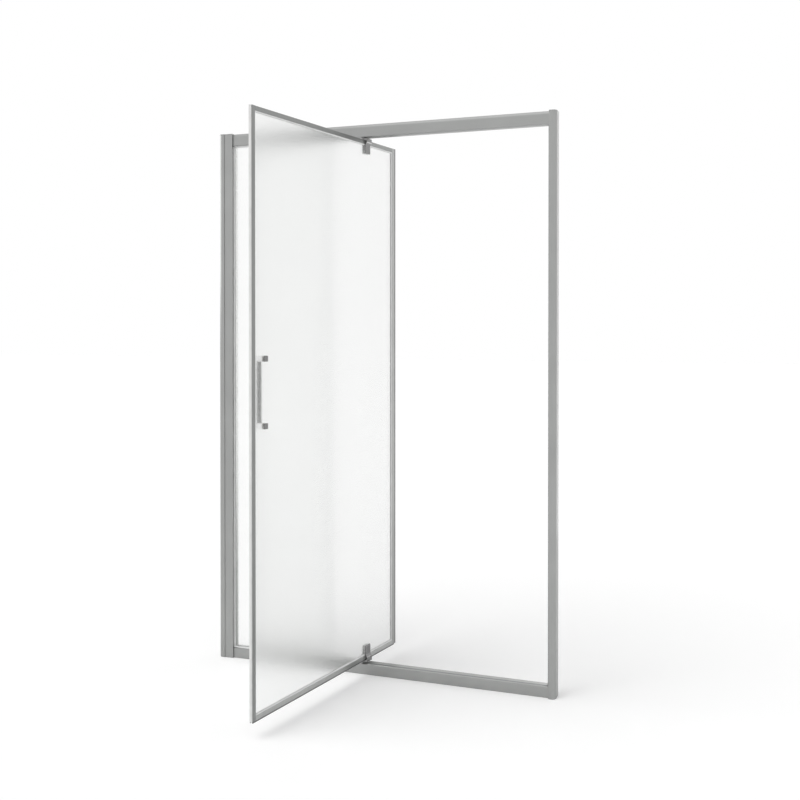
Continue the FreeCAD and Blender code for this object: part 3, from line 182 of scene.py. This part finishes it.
# edge radius, body, finish and slot of the pieces whose sharp edges are broken
SOFT_EDGES = {
    "lower_pivot_bracket": (FITTING_EDGE, "door", "fitting", "satin_chrome"),
    "upper_pivot_bracket": (FITTING_EDGE, "door", "fitting", "satin_chrome"),
    "lower_clamp_plate": (FITTING_EDGE, "door", "fitting", "satin_chrome"),
    "upper_clamp_plate": (FITTING_EDGE, "door", "fitting", "satin_chrome"),
    "lower_handle_cap": (FITTING_EDGE, "door", "fitting", "satin_chrome"),
    "upper_handle_cap": (FITTING_EDGE, "door", "fitting", "satin_chrome"),
    "lower_handle_post": (POST_EDGE, "door", "post", "satin_chrome"),
    "upper_handle_post": (POST_EDGE, "door", "post", "satin_chrome"),
    "left_top_cap": (COVER_EDGE, "root", "cap", "cap_plastic"),
    "right_top_cap": (COVER_EDGE, "root", "cap", "cap_plastic"),
    "screw_cover_caps": (COVER_EDGE, "root", "cap", "cap_plastic"),
}


def soften(name, materials):
    """A piece in a node's place with its sharp edges rounded."""
    radius, body, finish, slot = SOFT_EDGES[name]
    data = bmesh.new()
    data.from_mesh(nodes[name].data)
    bmesh.ops.remove_doubles(data, verts=data.verts, dist=WELD_REACH)
    bmesh.ops.dissolve_limit(data, angle_limit=FLAT_ANGLE, verts=data.verts, edges=data.edges)
    sharp = [edge for edge in data.edges
             if len(edge.link_faces) == 2 and edge.calc_face_angle() > SHARP_ANGLE]
    bmesh.ops.bevel(data, geom=sharp, offset=radius, segments=EDGE_STEPS, profile=ROUND_PROFILE,
                    affect="EDGES", clamp_overlap=True)
    piece = new_piece(name + "_finished", data, materials[finish], body)
    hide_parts(name)


# ---------------------------------------------------------------- socket screws

Screw = namedtuple("Screw", "head_radius head_height radius socket")
BRACKET_SCREW = Screw(head_radius=0.0043, head_height=0.0026, radius=0.0024, socket=0.0019)
BRACKET_SCREW_LENGTH = 0.0117
BLOCK_SCREW = Screw(head_radius=0.003, head_height=0.0022, radius=0.0015, socket=0.0013)

ROUND_STEPS = 36
HALF_SIDE = math.pi / 6  # angle from a hexagon's corner to the middle of its side

# the head's rounding as a share of its radius, and its foot and shoulder as shares of that
HEAD_EDGE = 0.12
HEAD_FOOT = 1 / 3
HEAD_SHOULDER = 0.3
# radius and rise of the shank's tip as shares of the shank's radius
TIP_RADIUS = 0.8
TIP_RISE = 0.3
# mouth of the socket as a share of its radius, its lip and floor as shares of the head's height
SOCKET_MOUTH = 1.08
SOCKET_LIP = 0.96
SOCKET_FLOOR = 0.35


def hexagon(angle):
    """Distance of a hexagon's edge in a direction, as a share of its corner radius."""
    from_corner = abs((angle + HALF_SIDE) % (2 * HALF_SIDE) - HALF_SIDE)
    return math.cos(HALF_SIDE) / math.cos(HALF_SIDE - from_corner)


def socket_screw(data, screw, seat, axis, length):
    """Cap screw with a six-sided socket; its axis points from the seat out of the head."""
    side_way = axis.orthogonal().normalized()
    up_way = axis.cross(side_way)

    def ring(reach, height, six_sided=False):
        points = []
        for step in range(ROUND_STEPS):
            angle = 2 * math.pi * step / ROUND_STEPS
            far = reach * hexagon(angle) if six_sided else reach
            points.append(seat + side_way * (far * math.cos(angle))
                          + up_way * (far * math.sin(angle)) + axis * height)
        return points

    wide, top = screw.head_radius, screw.head_height
    edge = HEAD_EDGE * wide
    foot, shoulder = edge * HEAD_FOOT, edge * HEAD_SHOULDER
    sweep(data, [
        ring(screw.radius * TIP_RADIUS, -length),
        ring(screw.radius, screw.radius * TIP_RISE - length),
        ring(screw.radius, 0),
        ring(wide - foot, 0),
        ring(wide, foot),
        ring(wide, top - edge),
        ring(wide - shoulder, top - shoulder),
        ring(wide - edge, top),
        ring(screw.socket * SOCKET_MOUTH, top),
        ring(screw.socket, top * SOCKET_LIP, True),
        ring(screw.socket, top * SOCKET_FLOOR, True),
    ])


def bracket_bolts(material):
    """Socket screws that clamp both pivot brackets on the glass."""
    data = bmesh.new()
    for height in (LEAF_LEVELS[0] + BOLT_LEVEL, LEAF_LEVELS[1] - BOLT_LEVEL):
        for along in (-BOLT_PLACE, BOLT_PLACE):
            socket_screw(data, BRACKET_SCREW, leaf_point(along, -BOLT_SEAT, height), -ACROSS,
                         BRACKET_SCREW_LENGTH)
    piece = new_piece("bracket_socket_screws", data, material, "door")
    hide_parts("bracket_screws")


def block_bolts(material):
    """Socket screws of the pivot blocks at the back of both rails, in the CAD screws' places."""
    data = bmesh.new()
    low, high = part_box("pivot_block_screws")
    half = BLOCK_SCREW.head_radius
    seat = high.y - BLOCK_SCREW.head_height
    for height in (low.z + half, high.z - half):
        for place in (low.x + half, high.x - half):
            socket_screw(data, BLOCK_SCREW, Vector((place, seat, height)), Vector((0, 1, 0)),
                         seat - low.y)
    piece = new_piece("block_socket_screws", data, material, "root")
    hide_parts("pivot_block_screws")


# ---------------------------------------------------------------- shader helpers

# range in which nearly all of a noise's values lie
NOISE_RANGE = (0.3, 0.7)
CLOUD_DETAIL = 2.0


def new_material(name):
    """An empty material with its output; returns it with its node tree."""
    material = bpy.data.materials.new(name)
    material.use_nodes = True
    tree = material.node_tree
    tree.nodes.clear()
    output = tree.nodes.new("ShaderNodeOutputMaterial")
    return material, tree, output


def add(tree, kind, **settings):
    """A node with its properties set."""
    node = tree.nodes.new(kind)
    for key, value in settings.items():
        setattr(node, key, value)
    return node


def mapped(tree, vector, socket, value):
    """A vector through a mapping with one of its sockets set."""
    node = add(tree, "ShaderNodeMapping")
    node.inputs[socket].default_value = value
    tree.links.new(vector, node.inputs["Vector"])
    return node.outputs["Vector"]


def grain_coordinates(tree, turn=0.0, stretch=None):
    """Object coordinates, where asked turned about Z and then scaled along each axis."""
    vector = add(tree, "ShaderNodeTexCoord").outputs["Object"]
    if turn:
        vector = mapped(tree, vector, "Rotation", (0, 0, turn))
    if stretch:
        vector = mapped(tree, vector, "Scale", stretch)
    return vector


def noise(tree, vector, scale, detail, roughness=0.5):
    """Noise values over a vector."""
    node = add(tree, "ShaderNodeTexNoise")
    node.inputs["Scale"].default_value = scale
    node.inputs["Detail"].default_value = detail
    node.inputs["Roughness"].default_value = roughness
    tree.links.new(vector, node.inputs["Vector"])
    return node.outputs["Fac"]


def mean(tree, one, other):
    """The mean of two values."""
    node = add(tree, "ShaderNodeMix", data_type="FLOAT")
    node.inputs["Factor"].default_value = 0.5
    tree.links.new(one, node.inputs["A"])
    tree.links.new(other, node.inputs["B"])
    return node.outputs["Result"]


def spread(tree, value, low, high):
    """Map a noise value from its usual range to the range from low to high."""
    node = add(tree, "ShaderNodeMapRange")
    node.inputs["From Min"].default_value = NOISE_RANGE[0]
    node.inputs["From Max"].default_value = NOISE_RANGE[1]
    node.inputs["To Min"].default_value = low
    node.inputs["To Max"].default_value = high
    tree.links.new(value, node.inputs["Value"])
    return node.outputs["Result"]


def between(tree, value, low, high):
    """A colour between two colours, by a noise value."""
    node = add(tree, "ShaderNodeValToRGB")
    for stop, place, colour in zip(node.color_ramp.elements, NOISE_RANGE, (low, high)):
        stop.position = place
        stop.color = (*colour, 1)
    tree.links.new(value, node.inputs["Fac"])
    return node.outputs["Color"]


def bump(tree, value, strength, depth):
    """A normal that a value raises."""
    node = add(tree, "ShaderNodeBump")
    node.inputs["Strength"].default_value = strength
    node.inputs["Distance"].default_value = depth
    tree.links.new(value, node.inputs["Height"])
    return node.outputs["Normal"]


def shade(colour, share):
    """A colour made lighter or darker by a share."""
    return tuple(min(1.0, part * share) for part in colour)


# ---------------------------------------------------------------- materials

# Kind of surface: fixed sockets of its shader; scale, detail and roughness of its fine noise;
# scale of its cloud; share by which its colour varies; how far its roughness goes down and up;
# strength and depth of its relief.
Kind = namedtuple("Kind", "sockets scale detail grit cloud tint smoother rougher relief depth")

# anodised extrusion: lines along its length and a faint cloud
PROFILE = Kind(sockets={"Metallic": 1.0}, scale=1.0, detail=4.0, grit=0.6, cloud=9.0, tint=0.06,
               smoother=0.05, rougher=0.07, relief=0.12, depth=0.00006)
# plated fitting: faint orange-peel
CAST = Kind(sockets={"Metallic": 1.0}, scale=260.0, detail=3.0, grit=0.5, cloud=40.0, tint=0.03,
            smoother=0.02, rougher=0.03, relief=0.05, depth=0.00003)
# moulded or extruded plastic or rubber: fine matt grain
PLASTIC = Kind(sockets={}, scale=900.0, detail=3.0, grit=0.5, cloud=30.0, tint=0.05,
               smoother=0.06, rougher=0.08, relief=0.07, depth=0.0001)
CLEAR_PLASTIC = PLASTIC._replace(sockets={"Transmission Weight": 0.1})
# etched glass: rough transmission with a fine frost in its surface
GLASS = Kind(sockets={"Transmission Weight": 1.0, "IOR": 1.5}, scale=1400.0, detail=3.0, grit=0.5,
             cloud=5.0, tint=0.005, smoother=0.04, rougher=0.04, relief=0.08, depth=0.00005)

# how a profile's lines run: its turn about Z, then the scale along each axis
UP = (0.0, (900, 900, 3))
LEVEL = (0.0, (3, 900, 900))
LEAF_LEVEL = (LEAF_OPEN, (3, 900, 900))

FRAME_METAL = (0.36, 0.365, 0.36)
# painted shade: the leaf's profiles are the frame's aluminium, written darker for the darker
# surroundings their faces reflect
LEAF_METAL_PAINTED_SHADE = (0.27, 0.275, 0.27)

# finishes: material name, kind, colour, roughness and, on a profile, how its lines run
FINISHES = {
    "frame_up": ("frame_upright_metal", PROFILE, FRAME_METAL, 0.36, *UP),
    "frame_level": ("frame_rail_metal", PROFILE, FRAME_METAL, 0.36, *LEVEL),
    # painted shade: the leaf's handle stile and top profile take the darkened copy of the aluminium
    "leaf_up": ("leaf_stile_metal", PROFILE, LEAF_METAL_PAINTED_SHADE, 0.34, *UP),
    "leaf_level": ("leaf_profile_metal", PROFILE, LEAF_METAL_PAINTED_SHADE, 0.34, *LEAF_LEVEL),
    "leaf_light_up": ("leaf_pivot_stile_metal", PROFILE, FRAME_METAL, 0.34, *UP),
    # painted light: the leaf's bottom profile is the same aluminium written lighter, for the
    # lighter reflection on its face
    "leaf_low": ("leaf_bottom_metal", PROFILE, (0.45, 0.455, 0.45), 0.34, *LEAF_LEVEL),
    # painted shade: the satin chrome of the brackets, clamp plates and handle caps is written dark
    # for the shade on their flat faces
    "fitting": ("fitting_metal", CAST, (0.23, 0.23, 0.23), 0.24),
    "grip": ("grip_metal", PROFILE, (0.22, 0.222, 0.22), 0.30, *UP),
    # painted highlight: the handle posts' satin chrome is written near white for the light from
    # above on them
    "post": ("post_metal", CAST, (0.80, 0.80, 0.80), 0.16),
    "steel": ("screw_steel", CAST, (0.5, 0.5, 0.5), 0.3),
    "glass": ("frosted_glass", GLASS, (0.98, 0.985, 0.98), 0.25),
    "gasket": ("glazing_rubber", PLASTIC, (0.86, 0.865, 0.86), 0.5),
    "strip": ("clear_strip", CLEAR_PLASTIC, (0.93, 0.935, 0.935), 0.3),
    "grey_strip": ("grey_strip", PLASTIC, (0.2, 0.205, 0.205), 0.55),
    "drip": ("drip_strip", PLASTIC, (0.13, 0.132, 0.13), 0.5),
    "magnet": ("magnet_strip", PLASTIC, (0.78, 0.78, 0.77), 0.45),
    "dark_seal": ("dark_seal", PLASTIC, (0.30, 0.30, 0.30), 0.6),
    "cap": ("cap_plastic", PLASTIC, (0.36, 0.365, 0.36), 0.5),
    "nylon": ("nylon", PLASTIC, (0.8, 0.8, 0.77), 0.42),
}

FINISH_OF_NODES = {
    "frame_up": ("left_wall_channel", "right_wall_channel", "left_upright", "strike_upright"),
    "frame_level": ("top_rail", "bottom_rail"),
    "leaf_up": ("door_handle_stile",),
    "leaf_light_up": ("door_pivot_stile",),
    "leaf_level": ("door_top_profile",),
    "leaf_low": ("door_bottom_profile",),
    "fitting": ("lower_pivot_bracket", "upper_pivot_bracket", "lower_clamp_plate",
                "upper_clamp_plate", "lower_handle_cap", "upper_handle_cap"),
    "grip": ("handle_grip",),
    "post": ("lower_handle_post", "upper_handle_post"),
    "steel": ("frame_corner_screws", "channel_fixing_screws", "pivot_block_screws",
              "door_corner_screws", "bracket_screws", "handle_screws", "lower_pivot_pin",
              "upper_pivot_pin", "lower_thrust_washer"),
    "glass": ("door_glass", "fixed_glass"),
    "gasket": ("door_glazing_gasket", "fixed_glass_gasket", "bracket_gaskets"),
    "strip": ("fixed_glass_edge_seal",),
    "grey_strip": ("sill_infill_strip", "head_infill_strip"),
    "drip": ("door_drip_seal",),
    "magnet": ("strike_magnet", "door_magnet_seal"),
    "dark_seal": ("door_edge_seal", "strike_bumper_seal"),
    "cap": ("left_top_cap", "right_top_cap", "screw_cover_caps"),
    "nylon": ("lower_pivot_block", "upper_pivot_block", "lower_pivot_bush", "upper_pivot_bush",
              "handle_washers"),
}


def make_material(name, kind, colour, rough, turn=0.0, stretch=None):
    """A surface whose colour, roughness and relief vary a little; stretched noise gives lines."""
    material, tree, output = new_material(name)
    surface = add(tree, "ShaderNodeBsdfPrincipled")
    for socket, value in kind.sockets.items():
        surface.inputs[socket].default_value = value
    fine = noise(tree, grain_coordinates(tree, turn, stretch), kind.scale, kind.detail, kind.grit)
    cloud = noise(tree, grain_coordinates(tree, turn), kind.cloud, CLOUD_DETAIL)
    tint = mean(tree, fine, cloud) if stretch else cloud
    tree.links.new(between(tree, tint, shade(colour, 1 - kind.tint), shade(colour, 1 + kind.tint)),
                   surface.inputs["Base Color"])
    tree.links.new(spread(tree, fine, rough - kind.smoother, rough + kind.rougher),
                   surface.inputs["Roughness"])
    tree.links.new(bump(tree, fine, kind.relief, kind.depth), surface.inputs["Normal"])
    tree.links.new(surface.outputs["BSDF"], output.inputs["Surface"])
    return material


def finish_nodes(materials):
    """Give every CAD node its material."""
    for finish, names in FINISH_OF_NODES.items():
        for name in names:
            for material_slot in nodes[name].material_slots:
                material_slot.material = materials[finish]


# ---------------------------------------------------------------- stage, light and camera

# strength of the world where it isn't seen; the floor's own glow where it is
FILL_LIGHT = 0.6
FLOOR_LIFT = 0.16
FLOOR_COLOUR = (0.88, 0.88, 0.88)
FLOOR_HALF = 30.0

# soft light from above: place, strength and angular size
SKY_PLACE = (-1.6, -1.8, 4.2)
SKY_POWER = 1.35
SKY_ANGLE = math.radians(45)

# panels that shine in gloss alone: place, target, width, height and watts
SHEEN_LAMPS = {
    "side_lamp": ((-1.9, 0.25, 2.05), (-0.6, 0.25, 2.05), 2.2, 1.5, 15.0),
    "top_lamp": ((0.2, -0.8, 3.4), (0.0, -0.4, 0.0), 3.0, 2.4, 10.0),
    "back_lamp": ((0.60, 2.0, 1.45), (-0.55, 0.0, 1.45), 0.6, 2.7, 12.7),
}


def white_for_seen_rays(tree):
    """1 for camera, glossy and transmission rays, else 0."""
    path = add(tree, "ShaderNodeLightPath")
    total = path.outputs["Is Camera Ray"]
    for name in ("Is Glossy Ray", "Is Transmission Ray"):
        larger = add(tree, "ShaderNodeMath", operation="MAXIMUM")
        tree.links.new(total, larger.inputs[0])
        tree.links.new(path.outputs[name], larger.inputs[1])
        total = larger.outputs["Value"]
    return total


def make_world():
    """White where it is seen, and an even fill light elsewhere."""
    world = bpy.data.worlds.new("studio")
    bpy.context.scene.world = world
    world.use_nodes = True
    tree = world.node_tree
    tree.nodes.clear()
    output = add(tree, "ShaderNodeOutputWorld")
    background = add(tree, "ShaderNodeBackground")
    background.inputs["Color"].default_value = (1, 1, 1, 1)
    strength = add(tree, "ShaderNodeMapRange")
    strength.inputs["To Min"].default_value = FILL_LIGHT
    strength.inputs["To Max"].default_value = 1.0
    tree.links.new(white_for_seen_rays(tree), strength.inputs["Value"])
    tree.links.new(strength.outputs["Result"], background.inputs["Strength"])
    tree.links.new(background.outputs["Background"], output.inputs["Surface"])


def make_floor():
    """Pale floor that keeps the object's shadow and meets the white backdrop unseen."""
    mesh = bpy.data.meshes.new("floor")
    corners = [(x * FLOOR_HALF, y * FLOOR_HALF, 0)
               for x, y in ((-1, -1), (1, -1), (1, 1), (-1, 1))]
    mesh.from_pydata(corners, [], [(0, 1, 2, 3)])
    floor = bpy.data.objects.new("floor", mesh)
    bpy.context.scene.collection.objects.link(floor)
    material, tree, output = new_material("floor_paint")
    paint = add(tree, "ShaderNodeBsdfDiffuse")
    paint.inputs["Color"].default_value = (*FLOOR_COLOUR, 1)
    glow = add(tree, "ShaderNodeEmission")
    lift = add(tree, "ShaderNodeMath", operation="MULTIPLY")
    lift.inputs[1].default_value = FLOOR_LIFT
    tree.links.new(white_for_seen_rays(tree), lift.inputs[0])
    tree.links.new(lift.outputs["Value"], glow.inputs["Strength"])
    both = add(tree, "ShaderNodeAddShader")
    tree.links.new(paint.outputs["BSDF"], both.inputs[0])
    tree.links.new(glow.outputs["Emission"], both.inputs[1])
    tree.links.new(both.outputs["Shader"], output.inputs["Surface"])
    mesh.materials.append(material)


def aim(lamp, place, target):
    """Put a lamp at a place, turned to a point."""
    lamp.location = place
    direction = Vector(target) - Vector(place)
    lamp.rotation_euler = direction.to_track_quat("-Z", "Y").to_euler()
    bpy.context.scene.collection.objects.link(lamp)


def sheen_lamp(name, place, target, width, height, power):
    """An area lamp that looks at a point and is seen in gloss alone."""
    data = bpy.data.lights.new(name, "AREA")
    data.energy = power
    data.shape = "RECTANGLE"
    data.size = width
    data.size_y = height
    lamp = bpy.data.objects.new(name, data)
    lamp.visible_camera = False
    lamp.visible_diffuse = False
    lamp.visible_transmission = False
    aim(lamp, place, target)


def make_lights():
    """An even soft light from above, and panels that only shine in the metal's gloss."""
    data = bpy.data.lights.new("sky_lamp", "SUN")
    data.energy = SKY_POWER
    data.angle = SKY_ANGLE
    sky = bpy.data.objects.new("sky_lamp", data)
    sky.visible_glossy = False
    aim(sky, SKY_PLACE, (0.0, 0.0, 0.0))
    for name, settings in SHEEN_LAMPS.items():
        sheen_lamp(name, *settings)


def make_camera():
    """Camera at the reference view; its shift puts the optical axis at its own pixel."""
    data = bpy.data.cameras.new("camera")
    data.sensor_width = SENSOR_MM
    data.lens = FOCAL_PX / IMAGE_SIDE * SENSOR_MM
    data.shift_x = (IMAGE_SIDE / 2 - CENTRE_PX[0]) / IMAGE_SIDE
    data.shift_y = (CENTRE_PX[1] - IMAGE_SIDE / 2) / IMAGE_SIDE
    data.clip_end = CAMERA_REACH
    camera = bpy.data.objects.new("camera", data)
    camera.location = CAMERA_PLACE
    camera.rotation_euler = (math.radians(90 - CAMERA_PITCH), 0, math.radians(CAMERA_YAW))
    bpy.context.scene.collection.objects.link(camera)
    bpy.context.scene.camera = camera


# ---------------------------------------------------------------- whole scene

bpy.context.scene.view_settings.view_transform = "Standard"
materials = {finish: make_material(*settings) for finish, settings in FINISHES.items()}
finish_nodes(materials)
leaf_wedges(materials["gasket"])
panel_wedges(materials["gasket"])
for name in SOFT_EDGES:
    soften(name, materials)
bracket_bolts(materials["steel"])
block_bolts(materials["steel"])
make_world()
make_floor()
make_lights()
make_camera()
